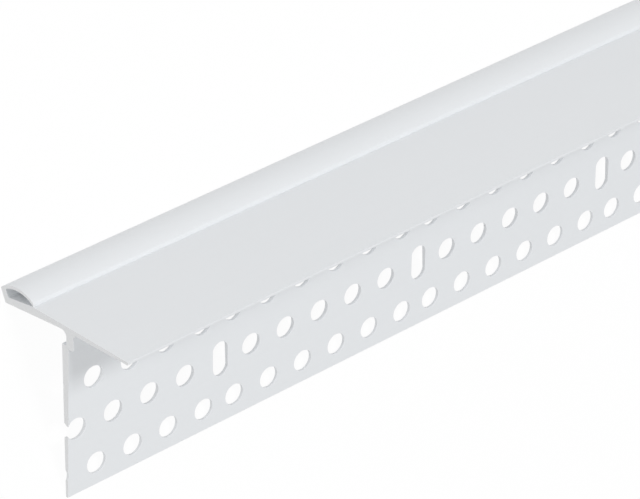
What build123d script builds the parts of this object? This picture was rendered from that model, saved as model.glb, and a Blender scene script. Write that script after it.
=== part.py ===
# Shadow gap profile: one length of extruded white PVC trim with a T-shaped section.
# A flange with a curled lip along its back edge stands on a punched leg.
# Millimetres, +Z up. The length runs along X. The profile lies on its back, as it comes to rest:
# the lip's end wall and the leg's lower edge are on the floor, flange top and leg front face up.
#
# The section is drawn as in use, leg hanging down. Across: 0 is the leg's front face, plus is to the front.
# Height: 0 is the top of the flange, minus is down. Along: 0 is the sawn end with the first holes.
import os
from math import atan2, cos, degrees, sin

from build123d import *

os.makedirs("parts", exist_ok=True)

# Stock
LENGTH = 1000.0

# Flange
FLANGE_FRONT = 15.7  # leg front face to the flange's front edge
FLANGE_ROOT = 0.85  # thickness where the flange meets the neck
FLANGE_EDGE = 0.6  # thickness at the front edge
FRONT_ROUND = 0.22

# Curled lip along the back edge
FOOT_BACK = 17.1  # leg front face to the lower back corner
FOOT_DROP = 2.35  # flange top to the lower back corner
END_WALL = 2.95  # height of the slanted wall at the back
END_WALL_THICK = 1.25
LIP_END_BACK = 8.9  # leg front face to the lip's free edge
LIP_END_RISE = 0.95  # flange top to the upper side of the free edge
LIP_RADIUS = 7.5
LIP_THICK = 0.66  # at the end wall
LIP_EDGE_THICK = 0.45  # at the free edge
LIP_INNER_RADIUS = 7.0
CAVITY_FLOOR_DROP = 1.0  # flange top to the hollow's floor at the end wall
GROOVE_BACK = 10.0  # leg front face to the place where the hollow's floor meets the flange top
TIP_ROUND = 0.3

# Neck and joggle between flange and leg
NECK_FRONT = 1.25  # how far the neck stands in front of the leg
NECK_THICK = 1.85
NECK_FRONT_FILLET = 1.0
NECK_BACK_FILLET = 1.7
FRONT_STEP_DEPTH = 4.3  # flange top to the step on the front
BACK_STEP_DEPTH = 3.75  # flange top to the ledge at the back
STEP_ROUND = 0.2

# Leg, which thins to a feather edge
LEG_DEPTH = 35.0  # flange top to the leg's lower edge
LEG_TOP_THICK = 1.75
LEG_EDGE_THICK = 0.55

# Saw cut at the first holes: it leans, so that the leg's lower edge reaches furthest
CUT_LEAN_UP = 0.045  # how far the cut draws back per millimetre up the leg
CUT_LEAN_FRONT = 0.015  # and per millimetre to the front

# Punching: a tool with six columns, stepped along the leg
HOLE_DIAMETER = 4.3
HOLE_PITCH = 8.5
HOLES_PER_STROKE = 6
STROKE_ADVANCE = 50.0
FIRST_ROW_DEPTH = 12.25  # flange top to the upper row
LAST_ROW_RISE = 4.55  # leg's lower edge to the lowest row
ROWS = 3
STAGGERED_ROW = 1  # the middle row, half a pitch on, whose last hole in each stroke is a slot
SLOT_HEIGHT = 7.2
SLOT_WIDTH = 3.6
SLOT_CORNER = 1.05  # cut off each corner of a slot
HOLE_SIDES = 8  # flat sides of the plain holes, measured across the flats; fixing holes are round
FIXING_COLUMN = 2  # the hole of the middle row that is kept for fixings
FIXING_STROKES = 2  # one fixing hole in this many strokes
FIRST_STROKE = -10.24  # first column of the stroke that the sawn end cuts through
PUNCH_CLEARANCE = 2.0  # the punches run this far past both faces of the leg

# Section outline, clockwise from the leg's lower back edge, which rests on the floor
leg_back_low = Vector(-LEG_EDGE_THICK, -LEG_DEPTH)
leg_back_top = Vector(-LEG_TOP_THICK, -BACK_STEP_DEPTH)
neck_back = NECK_FRONT - NECK_THICK
foot = Vector(-FOOT_BACK, -FOOT_DROP)
up_the_end_wall = (foot - leg_back_low).normalized()
into_the_hollow = Vector(up_the_end_wall.Y, -up_the_end_wall.X)
tip = foot + up_the_end_wall * END_WALL
lip_end = Vector(-LIP_END_BACK, LIP_END_RISE)

with BuildSketch() as section:
    with BuildLine():
        Polyline(leg_back_low, leg_back_top, (neck_back, -BACK_STEP_DEPTH), (neck_back, -FLANGE_ROOT), foot, tip)
        lip_top = RadiusArc(tip, lip_end, LIP_RADIUS)
        lip_centre = lip_top.arc_center
        lip_end_inner = lip_end + (lip_centre - lip_end).normalized() * LIP_EDGE_THICK
        hollow_reach = LIP_RADIUS - LIP_THICK
        wall_line = foot + into_the_hollow * END_WALL_THICK
        wall_reach = (wall_line - lip_centre).dot(up_the_end_wall)
        wall_offset = (wall_line - lip_centre).dot(into_the_hollow)
        hollow_top = wall_line + up_the_end_wall * ((hollow_reach**2 - wall_offset**2) ** 0.5 - wall_reach)
        hollow_low = wall_line + up_the_end_wall * ((-CAVITY_FLOOR_DROP - wall_line.Y) / up_the_end_wall.Y)
        Line(lip_end, lip_end_inner)
        RadiusArc(lip_end_inner, hollow_top, -LIP_INNER_RADIUS)
        Polyline(
            hollow_top,
            hollow_low,
            (-GROOVE_BACK, 0),
            (FLANGE_FRONT, 0),
            (FLANGE_FRONT, -FLANGE_EDGE),
            (NECK_FRONT, -FLANGE_ROOT),
            (NECK_FRONT, -FRONT_STEP_DEPTH),
            (0, -FRONT_STEP_DEPTH),
            (0, -LEG_DEPTH),
            leg_back_low,
        )
    make_face()
    front_edge = section.vertices().group_by(Axis.X)[-1]
    fillet(front_edge, FRONT_ROUND)
    neck_roots = section.vertices().filter_by(lambda v: abs(v.Y + FLANGE_ROOT) < 1e-6)
    fillet(neck_roots.filter_by(lambda v: v.X > 0), NECK_FRONT_FILLET)
    fillet(neck_roots.filter_by(lambda v: v.X < 0), NECK_BACK_FILLET)
    lip_corners = [v for v in section.vertices() if (Vector(v) - tip).length < 1e-6]
    lip_corners += [v for v in section.vertices() if (Vector(v) - foot).length < 1e-6]
    fillet(lip_corners, TIP_ROUND)
    step_corners = [v for v in section.vertices() if (Vector(v) - leg_back_top).length < 1e-6]
    step_corners += [v for v in section.vertices() if v.X == NECK_FRONT and v.Y == -FRONT_STEP_DEPTH]
    fillet(step_corners, STEP_ROUND)

# Lying attitude: the line from the leg's lower back edge to the end wall is level
lean = atan2(FOOT_BACK - LEG_EDGE_THICK, LEG_DEPTH - FOOT_DROP)
front_way = Vector(0, -sin(lean), cos(lean))
lying = section.sketch.rotate(Axis.Z, 90 - degrees(lean)).bounding_box()
section_origin = Vector(0, lying.center().X, -lying.min.Y)
section_plane = Plane(origin=section_origin, x_dir=front_way, z_dir=(-1, 0, 0))
sawn_end = Vector(-LENGTH / 2, 0, 0)
leg_front = Plane(origin=section_origin + sawn_end, x_dir=(1, 0, 0), z_dir=front_way)
cut_corner = leg_front.from_local_coords(Vector(0, -LEG_DEPTH, -LEG_EDGE_THICK))
into_the_stock = leg_front.x_dir - leg_front.y_dir * CUT_LEAN_UP - front_way * CUT_LEAN_FRONT
saw_cut = Plane(origin=cut_corner, z_dir=into_the_stock)

# Where the punches strike: distance from the sawn end, and height
hole_radius = HOLE_DIAMETER / 2
strokes = int((LENGTH - FIRST_STROKE) // STROKE_ADVANCE) + 1
row_step = (LEG_DEPTH - FIRST_ROW_DEPTH - LAST_ROW_RISE) / (ROWS - 1)
plain_places = []
fixing_places = []
slot_places = []
for stroke in range(strokes):
    for row in range(ROWS):
        for column in range(HOLES_PER_STROKE):
            staggered = row == STAGGERED_ROW
            stagger = HOLE_PITCH / 2 if staggered else 0
            along = FIRST_STROKE + stroke * STROKE_ADVANCE + stagger + column * HOLE_PITCH
            places = plain_places
            if staggered and column == HOLES_PER_STROKE - 1:
                places = slot_places
            elif staggered and column == FIXING_COLUMN and stroke % FIXING_STROKES == 1:
                places = fixing_places
            if -hole_radius < along < LENGTH + hole_radius:
                places.append((along, -FIRST_ROW_DEPTH - row * row_step))

with BuildSketch() as slot:
    Rectangle(SLOT_WIDTH, SLOT_HEIGHT)
    chamfer(slot.vertices(), SLOT_CORNER)

with BuildPart() as shadow_gap_profile:
    with BuildSketch(section_plane):
        add(section.sketch)
    extrude(amount=LENGTH / 2, both=True)
    split(bisect_by=saw_cut, keep=Keep.TOP)
    with BuildSketch(leg_front.offset(PUNCH_CLEARANCE)):
        with Locations(*plain_places):
            RegularPolygon(hole_radius, HOLE_SIDES, major_radius=False, rotation=180 / HOLE_SIDES)
        with Locations(*fixing_places):
            Circle(hole_radius)
        with Locations(*slot_places):
            add(slot.sketch)
    extrude(amount=-LEG_TOP_THICK - 2 * PUNCH_CLEARANCE, mode=Mode.SUBTRACT)

shadow_gap_profile.part.label = "shadow_gap_profile"
export_step(shadow_gap_profile.part, "parts/shadow_gap_profile.step")
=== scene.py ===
# Dresses the shadow gap profile: extruded white PVC trim lying on its back, with the punched leg and the
# flange facing up.
from math import atan2, ceil, cos, pi, radians, sin, sqrt, tan

import bmesh
import bpy
from mathutils import Matrix, Vector
from mathutils.geometry import delaunay_2d_cdt


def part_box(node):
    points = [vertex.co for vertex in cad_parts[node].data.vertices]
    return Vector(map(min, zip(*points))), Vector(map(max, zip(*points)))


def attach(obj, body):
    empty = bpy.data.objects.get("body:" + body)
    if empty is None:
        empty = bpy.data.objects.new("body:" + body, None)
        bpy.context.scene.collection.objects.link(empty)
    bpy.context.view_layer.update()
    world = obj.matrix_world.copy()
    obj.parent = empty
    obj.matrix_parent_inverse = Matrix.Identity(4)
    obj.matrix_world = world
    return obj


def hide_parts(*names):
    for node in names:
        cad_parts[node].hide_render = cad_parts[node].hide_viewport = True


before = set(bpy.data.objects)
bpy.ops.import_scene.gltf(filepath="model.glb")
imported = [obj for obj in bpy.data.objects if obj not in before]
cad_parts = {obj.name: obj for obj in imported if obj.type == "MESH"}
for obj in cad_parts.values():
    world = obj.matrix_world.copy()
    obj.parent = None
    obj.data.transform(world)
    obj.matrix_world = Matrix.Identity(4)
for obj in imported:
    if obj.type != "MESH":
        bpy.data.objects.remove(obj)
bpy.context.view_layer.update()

MM = 0.001

# Section in millimetres, as drawn in use with the leg hanging down: across is plus to the front of the
# leg's front face, height is minus below the flange's top
FLANGE_FRONT = 15.64  # a hair short of the solid's, because the top edge here is crisper
FLANGE_ROOT = 0.85
FLANGE_EDGE = 0.6
FRONT_ROUND = 0.22
FRONT_TOP_ROUND = 0.07
FOOT_BACK = 17.1
FOOT_DROP = 2.35
END_WALL = 2.95
END_WALL_THICK = 1.25
LIP_END_BACK = 9.45
LIP_END_LEAN = 0.08  # how far the free edge leans back from its foot
LIP_END_RISE = 0.7
LIP_END_ROUND = 0.5
LIP_RADIUS = 7.5
LIP_THICK = 0.66
LIP_GAP = 0.014  # between the free edge's foot and the flange
LIP_INNER_RADIUS = 7.0
CAVITY_FLOOR_DROP = 1.0
HOLLOW_ROUND = 0.3
GROOVE_BACK = 10.0
GROOVE_ROUND = 0.6
TIP_ROUND = 0.3
NECK_FRONT = 1.25
NECK_THICK = 1.85
NECK_FRONT_FILLET = 1.0
NECK_BACK_FILLET = 1.7
FRONT_STEP_DEPTH = 4.3
BACK_STEP_DEPTH = 3.75
STEP_ROUND = 0.2
STEP_ROOT_ROUND = 0.12
LEG_DEPTH = 35.0
LEG_TOP_THICK = 1.75
LEG_EDGE_THICK = 0.55
LEG_EDGE_ROUND = 0.12

# Saw cut at the near end, which draws back up the leg and to the front
CUT_LEAN_UP = 0.045
CUT_LEAN_FRONT = 0.015
SAW_SPARE = 8.0  # stock drawn past each end, which the saw takes off

# Punching: a six-column tool stepped along the leg. It rolls the front rims over, shears the first part of
# the wall clean and breaks out wider at the back.
HOLE_DIAMETER = 4.3
HOLE_PITCH = 8.5
HOLES_PER_STROKE = 6
STROKE_ADVANCE = 50.0
FIRST_ROW_DEPTH = 12.25
LAST_ROW_RISE = 4.55
ROWS = 3
STAGGERED_ROW = 1
SLOT_HEIGHT = 7.2
SLOT_WIDTH = 3.6
FIRST_STROKE = -10.24
FRONT_RIM_ROUND = 0.07
SHEARED_SHARE = 0.4
BREAKOUT = 0.23  # for a wall 1 mm thick; it goes with the cube of the thickness
RIM_STEPS = 3
HOLE_SIDES = 28

# Photograph's camera, placed in metres from the sawn end that it looks at, with its angles in degrees
CAMERA_FROM_END = Vector((-0.37106, 0.13097, 0.60105))
VIEW_TURN = 106.392
VIEW_TILT = 52.561
VIEW_ROLL = 84.971
LENS = 227.0
SENSOR_WIDTH = 36.0
NEAREST_SEEN = 0.01
FURTHEST_SEEN = 50.0

# Light: an even room, a small box overhead that throws the flange's shadow on the leg, and a box by the
# camera. The boxes are placed in metres from the spot that they light, a little along from the sawn end.
ROOM_LIGHT = 0.52
LIT_ALONG = 0.1
OVERHEAD_PLACE = Vector((0, 0.26, 1.63))
OVERHEAD_SIZE = 0.35
OVERHEAD_WATTS = 8.0
CAMERA_BOX_PLACE = Vector((-1.2, 0.2, 1.2))
CAMERA_BOX_SIZE = 0.5
CAMERA_BOX_WATTS = 5.5
FLOOR_GLOW_UNSEEN = 0.4
FLOOR_GLOW_SEEN = 0.94
FLOOR_REACH = 6.0
FLOOR_SQUARES = 8

# Finishes: each goes between two tints, and its relief is this deep in metres
WHITE = (1, 1, 1, 1)
PAPER_TINTS = ((0.67, 0.67, 0.67, 1), (0.71, 0.71, 0.71, 1))
EXTRUDED_TINTS = ((0.815, 0.838, 0.860, 1), (0.850, 0.868, 0.886, 1))
EXTRUDED_RELIEF = 0.00003
PUNCHED_TINTS = ((0.790, 0.806, 0.824, 1), (0.845, 0.858, 0.872, 1))
PUNCHED_RELIEF = 0.00005
SAWN_TINTS = ((0.780, 0.788, 0.796, 1), (0.850, 0.856, 0.862, 1))
SAWN_RELIEF = 0.00006
BLADE_WAY = (0, 0.28, 0.96)
BLADE_LINES = 4200  # in a metre
PVC_IOR = 1.53

# Material slots of the profile
EXTRUDED, PUNCHED, SAWN = range(3)

# Meshing
CORNER_STEPS = 5
LIP_STEPS = 14
HOLLOW_STEPS = 18
SHARP_ANGLE = 32.0
WELD = 0.000002
TRIANGLES = 0  # what delaunay_2d_cdt calls its output of triangles
NEARNESS = 1e-6

# Lying attitude
stock_low, stock_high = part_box("shadow_gap_profile")
lean = atan2(FOOT_BACK - LEG_EDGE_THICK, LEG_DEPTH - FOOT_DROP)
near_end = stock_low.x
length = (stock_high.x - stock_low.x) / MM
leg_edge_side = stock_low.y


def row_point(along, across, height):
    """A point of the section in millimetres, to its place in metres as the profile lies on the floor."""
    below = LEG_DEPTH + height
    sideways = below * cos(lean) - across * sin(lean)
    up = (across + LEG_EDGE_THICK) * cos(lean) + below * sin(lean)
    return Vector((near_end + along * MM, leg_edge_side + sideways * MM, up * MM))


def round_corner(before, corner, after, radius):
    """Points that take the outline round one corner; a radius of 0 keeps the corner."""
    if not radius:
        return [corner]
    back, on = before - corner, after - corner
    half_angle = back.angle(on) / 2
    reach = min(radius / tan(half_angle), back.length / 2, on.length / 2)
    start = corner + back.normalized() * reach
    end = corner + on.normalized() * reach
    centre = corner + (back.normalized() + on.normalized()).normalized() * (reach / cos(half_angle))
    points = []
    for step in range(CORNER_STEPS + 1):
        spoke = (start - centre).lerp(end - centre, step / CORNER_STEPS).normalized()
        points.append(centre + spoke * (start - centre).length)
    return points


def arc_centre(start, end, radius):
    """Centre of the arc that bulges up from start to end."""
    chord = end - start
    below = Vector((chord.y, -chord.x)).normalized()
    return start + chord / 2 + below * sqrt(radius**2 - (chord.length / 2) ** 2)


def arc_points(start, end, centre, steps):
    """Points strictly between start and end on the arc about centre, the shorter way round."""
    first = start - centre
    turn = first.angle_signed(end - centre)
    points = []
    for step in range(1, steps):
        spoke = first.copy()
        spoke.rotate(Matrix.Rotation(-turn * step / steps, 2))
        points.append(centre + spoke)
    return points


def head_outline():
    """Flange, lip, neck and joggle, from the top of the leg's back round to the top of its front."""
    leg_back_low = Vector((-LEG_EDGE_THICK, -LEG_DEPTH))
    foot = Vector((-FOOT_BACK, -FOOT_DROP))
    up_wall = (foot - leg_back_low).normalized()
    into_hollow = Vector((up_wall.y, -up_wall.x))
    tip = foot + up_wall * END_WALL
    lip_end = Vector((-LIP_END_BACK - LIP_END_LEAN, LIP_END_RISE))
    centre = arc_centre(tip, lip_end, LIP_RADIUS)
    lip_end_inner = Vector((-LIP_END_BACK, LIP_GAP))
    hollow_reach = LIP_RADIUS - LIP_THICK
    wall_line = foot + into_hollow * END_WALL_THICK
    wall_reach = (wall_line - centre).dot(up_wall)
    wall_offset = (wall_line - centre).dot(into_hollow)
    hollow_top = wall_line + up_wall * (sqrt(hollow_reach**2 - wall_offset**2) - wall_reach)
    hollow_low = wall_line + up_wall * ((-CAVITY_FLOOR_DROP - wall_line.y) / up_wall.y)
    inner_centre = arc_centre(hollow_top, lip_end_inner, LIP_INNER_RADIUS)
    neck_back = NECK_FRONT - NECK_THICK
    outline = [(Vector((-LEG_TOP_THICK, -BACK_STEP_DEPTH)), STEP_ROUND)]
    outline.append((Vector((neck_back, -BACK_STEP_DEPTH)), STEP_ROOT_ROUND))
    outline.append((Vector((neck_back, -FLANGE_ROOT)), NECK_BACK_FILLET))
    outline.append((foot, TIP_ROUND))
    outline.append((tip, TIP_ROUND))
    outline += [(point, 0) for point in arc_points(tip, lip_end, centre, LIP_STEPS)]
    outline.append((lip_end, LIP_END_ROUND))
    outline.append((lip_end_inner, 0))
    under_lip = arc_points(lip_end_inner, hollow_top, inner_centre, HOLLOW_STEPS)
    outline += [(point, 0) for point in under_lip]
    outline.append((hollow_top, HOLLOW_ROUND))
    outline.append((hollow_low, HOLLOW_ROUND))
    outline.append((Vector((-GROOVE_BACK, 0)), GROOVE_ROUND))
    outline.append((Vector((FLANGE_FRONT, 0)), FRONT_TOP_ROUND))
    outline.append((Vector((FLANGE_FRONT, -FLANGE_EDGE)), FRONT_ROUND))
    outline.append((Vector((NECK_FRONT, -FLANGE_ROOT)), NECK_FRONT_FILLET))
    outline.append((Vector((NECK_FRONT, -FRONT_STEP_DEPTH)), STEP_ROUND))
    return outline


def leg_back(height):
    """How far the leg's back face lies behind its front face at a height."""
    share = (-height - BACK_STEP_DEPTH) / (LEG_DEPTH - BACK_STEP_DEPTH)
    return LEG_TOP_THICK + share * (LEG_EDGE_THICK - LEG_TOP_THICK)


def punch_places():
    """(along, height, is a slot) of each punched hole that reaches the stock."""
    places = []
    strokes = ceil((length - FIRST_STROKE) / STROKE_ADVANCE)
    row_step = (LEG_DEPTH - FIRST_ROW_DEPTH - LAST_ROW_RISE) / (ROWS - 1)
    for stroke in range(strokes):
        for row in range(ROWS):
            for column in range(HOLES_PER_STROKE):
                stagger = HOLE_PITCH / 2 if row == STAGGERED_ROW else 0
                along = FIRST_STROKE + stroke * STROKE_ADVANCE + stagger + column * HOLE_PITCH
                is_slot = row == STAGGERED_ROW and column == HOLES_PER_STROKE - 1
                if -HOLE_DIAMETER / 2 < along < length + HOLE_DIAMETER / 2:
                    places.append((along, -FIRST_ROW_DEPTH - row * row_step, is_slot))
    return places


def hole_loop(along, height, is_slot, grow):
    """Corners round a hole, widened by grow."""
    radius = (SLOT_WIDTH if is_slot else HOLE_DIAMETER) / 2 + grow
    reach = (SLOT_HEIGHT - SLOT_WIDTH) / 2 if is_slot else 0
    loop = []
    for side in range(HOLE_SIDES):
        turn = 2 * pi * side / HOLE_SIDES
        shift = reach if turn < pi else -reach
        loop.append(Vector((along + radius * cos(turn), height + shift + radius * sin(turn))))
    return loop


def back_loop(along, height, is_slot):
    """Corners round a hole where it has broken out at the leg's back."""
    return hole_loop(along, height, is_slot, BREAKOUT * leg_back(height) ** 3)


def front_place(point, depth=0):
    """A point of the leg's front, or of a wall at a depth behind it."""
    return point.x, -depth, point.y


def wall_place(point, share=1):
    """A point of a wall at a share of the leg's thickness, where 1 is the leg's back."""
    return point.x, -share * leg_back(point.y), point.y


def hole_rings(hole):
    """Rings of points down a hole: over the rolled rim, down the sheared part and out to the leg's back."""
    rings = []
    for step in range(RIM_STEPS + 1):
        turn = pi / 2 * step / RIM_STEPS
        ring = hole_loop(*hole, FRONT_RIM_ROUND * (1 - sin(turn)))
        rings.append([front_place(point, FRONT_RIM_ROUND * (1 - cos(turn))) for point in ring])
    rings.append([wall_place(point, SHEARED_SHARE) for point in hole_loop(*hole, 0)])
    rings.append([wall_place(point) for point in back_loop(*hole)])
    return rings


def section_corners():
    """The whole section's corners from the top of the leg's back, each a list of the points round it."""
    outline = head_outline()
    outline.append((Vector((0, -FRONT_STEP_DEPTH)), STEP_ROOT_ROUND))
    outline.append((Vector((0, -LEG_DEPTH)), LEG_EDGE_ROUND))
    outline.append((Vector((-LEG_EDGE_THICK, -LEG_DEPTH)), LEG_EDGE_ROUND))
    corners = []
    for index, (corner, radius) in enumerate(outline):
        before = outline[index - 1][0]
        after = outline[(index + 1) % len(outline)][0]
        corners.append(round_corner(before, corner, after, radius))
    return corners


def leg_panel(outline, loops):
    """Triangles that fill the outline between the hole loops, as (points, triangles)."""
    points, regions = [], []
    for loop in [outline, *loops]:
        regions.append(list(range(len(points), len(points) + len(loop))))
        points += loop
    filled = delaunay_2d_cdt(points, [], regions, TRIANGLES, NEARNESS)
    solid = [triangle for triangle, within in zip(filled[2], filled[5]) if within == [0]]
    return filled[0], solid


def saw_end(mesh, place, inward):
    """Cut the skin through a place and close the cut; inward points into the stock that stays."""
    whole = [*mesh.verts, *mesh.edges, *mesh.faces]
    kept_side = inward.normalized()
    cut = bmesh.ops.bisect_plane(
        mesh, geom=whole, dist=WELD, plane_co=place, plane_no=kept_side, clear_inner=True
    )
    rims = [piece for piece in cut["geom_cut"] if isinstance(piece, bmesh.types.BMEdge)]
    caps = bmesh.ops.holes_fill(mesh, edges=rims)["faces"]
    for cap in caps:
        cap.material_index = SAWN
        cap.normal_update()
    bmesh.ops.triangulate(mesh, faces=caps, ngon_method="EAR_CLIP")


def profile_mesh():
    """The whole length as one closed skin: drawn and punched as longer stock, then sawn at both ends."""
    mesh = bmesh.new()

    def face(points, finish):
        made = mesh.faces.new([mesh.verts.new(row_point(*point)) for point in points])
        made.material_index = finish
        made.smooth = True

    near, far = -SAW_SPARE, length + SAW_SPARE
    corners = section_corners()
    head = [point for corner in corners[:-2] for point in corner]
    edge = [point for corner in corners[-2:] for point in corner]
    for line in (head, edge):
        for first, second in zip(line, line[1:]):
            ends = [(near, *first), (far, *first), (far, *second), (near, *second)]
            face(ends, EXTRUDED)

    holes = punch_places()
    front_rims = [hole_loop(*hole, FRONT_RIM_ROUND) for hole in holes]
    back_rims = [back_loop(*hole) for hole in holes]
    for place, top, low, rims in (
        (front_place, head[-1].y, edge[0].y, front_rims),
        (wall_place, head[0].y, edge[-1].y, back_rims),
    ):
        outline = [Vector((near, top)), Vector((near, low)), Vector((far, low)), Vector((far, top))]
        points, triangles = leg_panel(outline, rims)
        for triangle in triangles:
            face([place(points[index]) for index in triangle], EXTRUDED)

    for hole in holes:
        rings = hole_rings(hole)
        for index, (ring, deeper) in enumerate(zip(rings, rings[1:])):
            finish = EXTRUDED if index < RIM_STEPS else PUNCHED
            for side in range(HOLE_SIDES):
                face([ring[side - 1], ring[side], deeper[side], deeper[side - 1]], finish)

    bmesh.ops.remove_doubles(mesh, verts=mesh.verts, dist=WELD)
    along = row_point(1, 0, 0) - row_point(0, 0, 0)
    front = row_point(0, 1, 0) - row_point(0, 0, 0)
    up = row_point(0, 0, 1) - row_point(0, 0, 0)
    into_stock = along - up * CUT_LEAN_UP - front * CUT_LEAN_FRONT
    saw_end(mesh, row_point(0, -LEG_EDGE_THICK, -LEG_DEPTH), into_stock)
    saw_end(mesh, row_point(length, 0, 0), -along)
    bmesh.ops.recalc_face_normals(mesh, faces=mesh.faces)
    made = bpy.data.meshes.new("profile_skin")
    mesh.to_mesh(made)
    mesh.free()
    made.set_sharp_from_angle(angle=radians(SHARP_ANGLE))
    return made


class Shade:
    """A socket of a node tree; sums and products of it add Math nodes."""

    def __init__(self, tree, socket=None):
        self.tree = tree
        self.socket = socket

    def node(self, kind, settings=None, sockets=None, output=0):
        """Add a node by its type, settings and sockets' values or links, and go on from one output."""
        made = self.tree.nodes.new("ShaderNode" + kind)
        for name, setting in (settings or {}).items():
            setattr(made, name, setting)
        for name, value in (sockets or {}).items():
            if isinstance(value, Shade):
                self.tree.links.new(value.socket, made.inputs[name])
            else:
                made.inputs[name].default_value = value
        return Shade(self.tree, made.outputs[output] if made.outputs else None)

    def math(self, operation, first, second):
        return self.node("Math", {"operation": operation}, {0: first, 1: second})

    def __add__(self, other):
        return self.math("ADD", self, other)

    def __radd__(self, other):
        return self.math("ADD", other, self)

    def __mul__(self, other):
        return self.math("MULTIPLY", self, other)

    def __rmul__(self, other):
        return self.math("MULTIPLY", other, self)

    def between(self, first, second):
        """A colour that goes from the first to the second as this value goes from 0 to 1."""
        return self.node("Mix", {"data_type": "RGBA"}, {0: self, 6: first, 7: second}, output=2)


def new_finish(name):
    """An empty material, and the place of each point on the object to start its nodes from."""
    material = bpy.data.materials.new(name)
    material.use_nodes = True
    material.node_tree.nodes.clear()
    return material, Shade(material.node_tree).node("TexCoord", output="Object")


def streaks(place, stretch, detail=3.0):
    """Noise drawn out along the length: stretch is how many grains fit in a metre each way."""
    drawn = place.node("VectorMath", {"operation": "MULTIPLY"}, {0: place, 1: stretch})
    sockets = {"Vector": drawn, "Scale": 1.0, "Detail": detail, "Roughness": 0.6}
    return place.node("TexNoise", sockets=sockets)


def plastic(place, colour, roughness, relief, depth):
    """White PVC with its relief, as the material's output."""
    bump = place.node("Bump", sockets={"Strength": 1.0, "Distance": depth, "Height": relief})
    sockets = {"Base Color": colour, "Roughness": roughness, "Normal": bump, "IOR": PVC_IOR}
    surface = place.node("BsdfPrincipled", sockets=sockets)
    place.node("OutputMaterial", sockets={"Surface": surface})


def extruded_finish():
    """The drawn faces: satin white, with die lines along the length and a slow ripple from the haul-off."""
    material, place = new_finish("extruded_pvc")
    die_lines = streaks(place, (3, 1300, 1300))
    hair_lines = streaks(place, (25, 5200, 5200), detail=2.0)
    ripple = streaks(place, (22, 60, 60), detail=2.0)
    grain = streaks(place, (3800, 3800, 3800), detail=1.0)
    tint = 0.5 * die_lines + 0.5 * ripple
    colour = tint.between(*EXTRUDED_TINTS)
    roughness = 0.30 + 0.14 * die_lines + 0.06 * grain
    relief = 0.45 * die_lines + 0.15 * hair_lines + 0.12 * grain + 3.0 * ripple
    plastic(place, colour, roughness, relief, EXTRUDED_RELIEF)
    return material


def punched_finish():
    """The walls that the punch sheared, scored straight through the leg."""
    material, place = new_finish("punched_pvc")
    punch_way = (0, -sin(lean), cos(lean))
    through = place.node("VectorMath", {"operation": "PROJECT"}, {0: place, 1: punch_way})
    around = place.node("VectorMath", {"operation": "SUBTRACT"}, {0: place, 1: through})
    scores = streaks(around, (3000, 3000, 3000), detail=2.0)
    grain = streaks(place, (5000, 5000, 5000), detail=1.0)
    colour = scores.between(*PUNCHED_TINTS)
    roughness = 0.42 + 0.16 * scores + 0.05 * grain
    plastic(place, colour, roughness, 0.7 * scores + 0.3 * grain, PUNCHED_RELIEF)
    return material


def sawn_finish():
    """The cut ends: matt, with the blade's lines across the section."""
    material, place = new_finish("sawn_pvc")
    passed = place.node("VectorMath", {"operation": "DOT_PRODUCT"}, {0: place, 1: BLADE_WAY}, "Value")
    sockets = {"W": passed * BLADE_LINES, "Scale": 1.0, "Detail": 3.0}
    lines = place.node("TexNoise", {"noise_dimensions": "1D"}, sockets)
    grain = streaks(place, (6000, 6000, 6000), detail=2.0)
    colour = lines.between(*SAWN_TINTS)
    roughness = 0.52 + 0.16 * lines + 0.08 * grain
    plastic(place, colour, roughness, 0.7 * lines + 0.3 * grain, SAWN_RELIEF)
    return material


def seen_ray(start):
    """1 for rays that show a surface to the camera, straight, mirrored or through glass."""
    straight = start.node("LightPath", output="Is Camera Ray")
    mirrored = start.node("LightPath", output="Is Glossy Ray")
    through = start.node("LightPath", output="Is Transmission Ray")
    return start.math("MAXIMUM", straight + mirrored, through)


def white_floor():
    """A pale floor that shows as white and keeps the object's soft shadow."""
    mesh = bmesh.new()
    bmesh.ops.create_grid(mesh, x_segments=FLOOR_SQUARES, y_segments=FLOOR_SQUARES, size=FLOOR_REACH)
    made = bpy.data.meshes.new("floor")
    mesh.to_mesh(made)
    mesh.free()
    floor = bpy.data.objects.new("floor", made)
    bpy.context.collection.objects.link(floor)
    material, place = new_finish("floor_white")
    seen = seen_ray(place)
    mottle = streaks(place, (4, 4, 4))
    paper = mottle.between(*PAPER_TINTS)
    matt = place.node("BsdfDiffuse", sockets={"Color": seen.between(paper, WHITE)})
    glow = place.node("Emission", sockets={"Color": WHITE, "Strength": 1.0})
    share = FLOOR_GLOW_UNSEEN + (FLOOR_GLOW_SEEN - FLOOR_GLOW_UNSEEN) * seen
    surface = place.node("MixShader", sockets={0: share, 1: matt, 2: glow})
    place.node("OutputMaterial", sockets={"Surface": surface})
    made.materials.append(material)


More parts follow.
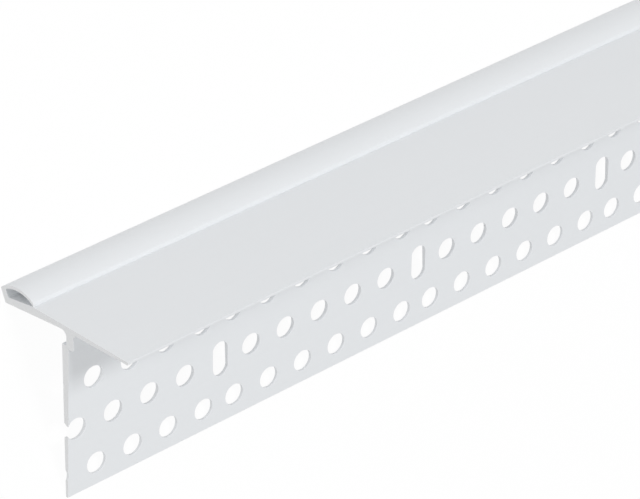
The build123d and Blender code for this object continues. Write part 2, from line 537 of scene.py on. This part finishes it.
def white_room():
    """Even light from all round, white where the camera sees it."""
    world = bpy.data.worlds.new("room")
    bpy.context.scene.world = world
    world.use_nodes = True
    world.node_tree.nodes.clear()
    start = Shade(world.node_tree)
    light = start.node("Background", sockets={"Color": WHITE, "Strength": ROOM_LIGHT})
    white = start.node("Background", sockets={"Color": WHITE, "Strength": 1.0})
    surface = start.node("MixShader", sockets={0: seen_ray(start), 1: light, 2: white})
    start.node("OutputWorld", sockets={"Surface": surface})


def soft_box(name, place, aim, size, watts):
    """A square lamp at a place, turned to a point."""
    lamp = bpy.data.lights.new(name, "AREA")
    lamp.shape = "SQUARE"
    lamp.size = size
    lamp.energy = watts
    made = bpy.data.objects.new(name, lamp)
    made.location = place
    made.rotation_euler = (aim - place).to_track_quat("-Z", "Y").to_euler()
    bpy.context.collection.objects.link(made)


def photo_camera():
    """The photograph's view of the near end, turned on its side as the photograph is."""
    turn, tilt = radians(VIEW_TURN), radians(VIEW_TILT)
    forward = Vector((cos(tilt) * sin(turn), cos(tilt) * cos(turn), -sin(tilt)))
    level = forward.to_track_quat("-Z", "Y").to_matrix()
    camera = bpy.data.cameras.new("photo_camera")
    camera.sensor_width = SENSOR_WIDTH
    camera.lens = LENS
    camera.clip_start = NEAREST_SEEN
    camera.clip_end = FURTHEST_SEEN
    made = bpy.data.objects.new("photo_camera", camera)
    made.matrix_world = (level @ Matrix.Rotation(radians(VIEW_ROLL), 3, "Z")).to_4x4()
    made.location = Vector((near_end, 0, 0)) + CAMERA_FROM_END
    bpy.context.collection.objects.link(made)
    bpy.context.scene.camera = made


skin = profile_mesh()
for finish in (extruded_finish(), punched_finish(), sawn_finish()):
    skin.materials.append(finish)
profile = bpy.data.objects.new("profile", skin)
bpy.context.collection.objects.link(profile)
even_normals = profile.modifiers.new("even_normals", "WEIGHTED_NORMAL")
even_normals.keep_sharp = True
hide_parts("shadow_gap_profile")
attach(profile, "root")

white_floor()
white_room()
lit_spot = Vector((near_end + LIT_ALONG, 0, 0))
soft_box("overhead", lit_spot + OVERHEAD_PLACE, lit_spot, OVERHEAD_SIZE, OVERHEAD_WATTS)
soft_box("by_the_camera", lit_spot + CAMERA_BOX_PLACE, lit_spot, CAMERA_BOX_SIZE, CAMERA_BOX_WATTS)
photo_camera()
bpy.context.scene.view_settings.view_transform = "Standard"
